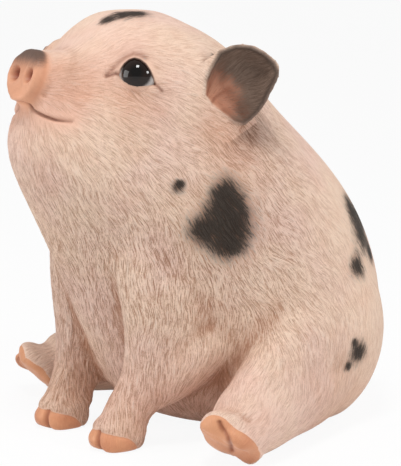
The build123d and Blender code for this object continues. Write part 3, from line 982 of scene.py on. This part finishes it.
def eye_bead(side, glass):
    """A glass bead with a raised front, a cut back and a shank."""
    iris_radius, shank_inset, shank_length, back_depth = 4.6, 2.6, 3, 2
    deselect()
    bpy.ops.mesh.primitive_uv_sphere_add(segments=64, ring_count=32, radius=ball_radius * MM)
    bead = bpy.context.object
    bpy.ops.object.mode_set(mode="EDIT")
    bpy.ops.mesh.select_all(action="SELECT")
    bpy.ops.mesh.bisect(
        plane_co=(0, 0, -back_depth * MM), plane_no=(0, 0, 1), use_fill=True, clear_inner=True
    )
    bpy.ops.mesh.inset(thickness=shank_inset * MM)
    bpy.ops.mesh.extrude_region_move(TRANSFORM_OT_translate={"value": (0, 0, -shank_length * MM)})
    bpy.ops.object.mode_set(mode="OBJECT")
    local = points_of(bead)
    from_pole = np.hypot(local[:, 0] + 0.3, local[:, 1] - 0.2)
    in_front = local[:, 2] > 0
    store(bead, "iris", from_pole / iris_radius * in_front + 2.0 * ~in_front)
    put_points(bead, local * (1 + 0.03 * bell(from_pole, 3.6) * in_front)[:, None])
    turned = np.array((side, 1, 1))
    axes = np.column_stack((eye_back * turned * side, eye_up * turned, eye_out * turned))
    place = Matrix(axes.tolist()).to_4x4()
    place.translation = Vector((eye_middle - ball_depth * eye_out) * turned * MM)
    bead.matrix_world = place
    settle(bead)
    bpy.ops.object.shade_smooth()
    bead.data.materials.append(glass)
    return bead


glass = eye_glass()
for side, name in [(1, "left_eye"), (-1, "right_eye")]:
    bead = eye_bead(side, glass)
    bead.name = name + "_bead"
    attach(bead, "root")
    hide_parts(name)


def felt_pads():
    """Three felt discs under the seat, cut from sheet, with soft edges."""
    low, high = (np.array(corner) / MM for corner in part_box("seat_pads"))
    discs = []
    for angle in (90, 210, 330):
        turn = math.radians(angle)
        middle = pour_middle + pads_ring_radius * np.array((math.cos(turn), math.sin(turn)))
        deselect()
        bpy.ops.mesh.primitive_cylinder_add(
            vertices=64, radius=pad_radius * MM, depth=(high[2] - low[2]) * MM,
            location=(middle[0] * MM, middle[1] * MM, (high[2] + low[2]) / 2 * MM),
        )
        disc = bpy.context.object
        bpy.ops.object.mode_set(mode="EDIT")
        bpy.ops.mesh.select_all(action="SELECT")
        bpy.ops.mesh.bevel(offset=pad_bevel * MM, segments=3, affect="EDGES")
        bpy.ops.object.mode_set(mode="OBJECT")
        settle(disc)
        discs.append(disc)
    pick(*discs)
    bpy.ops.object.join()
    pads = bpy.context.object
    pads.name = "felt_pads"
    return pads


felt, shader, place = new_material("felt")
fibres = place.noise(0.25 * MM, 4.0)
tufts = place.noise(1.6 * MM, 3.0)
wool = (fibres * 0.6 + tufts * 0.4).step(0.3, 0.7).blend(colour(62, 72, 66), colour(104, 116, 108))
nap = place.node("Bump", None, {"Strength": 0.8, "Distance": 0.15 * MM, "Height": fibres + tufts})
wire(wool, shader, "Base Color")
wire(0.9 + (tufts - 0.5) * 0.15, shader, "Roughness")
wire(nap, shader, "Normal")
pads = felt_pads()
pads.data.materials.clear()
pads.data.materials.append(felt)
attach(pads, "root")
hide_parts("seat_pads")

rubber, shader, place = new_material("plug_rubber")
dust = place.noise(2.5 * MM, 4.0)
wire(dust.step(0.3, 0.8).blend(colour(46, 46, 46), colour(72, 70, 68)), shader, "Base Color")
wire(0.6 + (dust - 0.5) * 0.3, shader, "Roughness")
wire(place.node("Bump", None, {"Strength": 0.4, "Distance": 0.1 * MM, "Height": dust}), shader, "Normal")
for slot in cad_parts["base_plug"].material_slots:
    slot.material = rubber

# Floor, nearly white where it is seen or mirrored, with the figure's shadow on it
deselect()
bpy.ops.mesh.primitive_plane_add(size=14, location=(0, 0, 0))
floor = bpy.context.object
floor.name = "floor"
white, shader, place = new_material("studio_white")
shader.inputs["Base Color"].default_value = (0.9, 0.9, 0.9, 1)
shader.inputs["Roughness"].default_value = 0.9
floor_glow = 0.92
seen = place.node("LightPath", None, None, "Is Camera Ray")
for ray in ("Is Glossy Ray", "Is Transmission Ray"):
    seen = seen.at_least(place.node("LightPath", None, None, ray))
glow = place.node("Emission", None, {"Color": (1, 1, 1, 1), "Strength": 1.0})
lit = Value(place.tree, shader.outputs[0])
both = place.node("MixShader", None, {0: seen * floor_glow, 1: lit, 2: glow})
place.tree.links.new(both.socket, place.tree.nodes["Material Output"].inputs["Surface"])
floor.data.materials.append(white)

# Camera at the photograph's angle
view_azimuth = math.radians(55)
view_elevation = math.radians(9.7)
aim = Vector((-0.001, 0.0015, 0.068))
back_way = Vector((
    math.sin(view_azimuth) * math.cos(view_elevation),
    -math.cos(view_azimuth) * math.cos(view_elevation),
    math.sin(view_elevation),
))
camera_data = bpy.data.cameras.new("camera")
camera = bpy.data.objects.new("camera", camera_data)
bpy.context.scene.collection.objects.link(camera)
camera.location = aim + back_way * view_distance
camera.rotation_euler = back_way.to_track_quat("Z", "Y").to_euler()
camera_data.sensor_width = sensor_size
camera_data.lens = focal_pixels / frame_height * sensor_size
bpy.context.scene.camera = camera

# Soft light from all round, with a whiter sky where the camera sees it, and three lamps
sky_strength = 0.42
world = bpy.data.worlds.new("studio")
bpy.context.scene.world = world
world.use_nodes = True
start = Value(world.node_tree, None)
dim = start.node("Background", None, {"Color": (1, 1, 1, 1), "Strength": sky_strength})
bright = start.node("Background", None, {"Color": (0.98, 0.98, 0.98, 1), "Strength": 1.0})
seen = start.node("LightPath", None, None, "Is Camera Ray")
sky = start.node("MixShader", None, {0: seen, 1: dim, 2: bright})
world.node_tree.links.new(sky.socket, world.node_tree.nodes["World Output"].inputs["Surface"])


figure_middle = Vector((0, 0, 0.06))


def area_light(name, place, size, power):
    """A square lamp that faces the figure."""
    data = bpy.data.lights.new(name, "AREA")
    data.size = size
    data.energy = power
    lamp = bpy.data.objects.new(name, data)
    bpy.context.scene.collection.objects.link(lamp)
    lamp.location = place
    lamp.rotation_euler = (Vector(place) - figure_middle).to_track_quat("Z", "Y").to_euler()


area_light("key", (0.35, -0.32, 1.05), 0.25, 5.7)
area_light("side", (0.88, 0.36, 0.50), 0.20, 2.8)
area_light("front", (-0.35, -0.88, 0.3), 0.5, 3.2)
bpy.context.scene.view_settings.view_transform = "Standard"
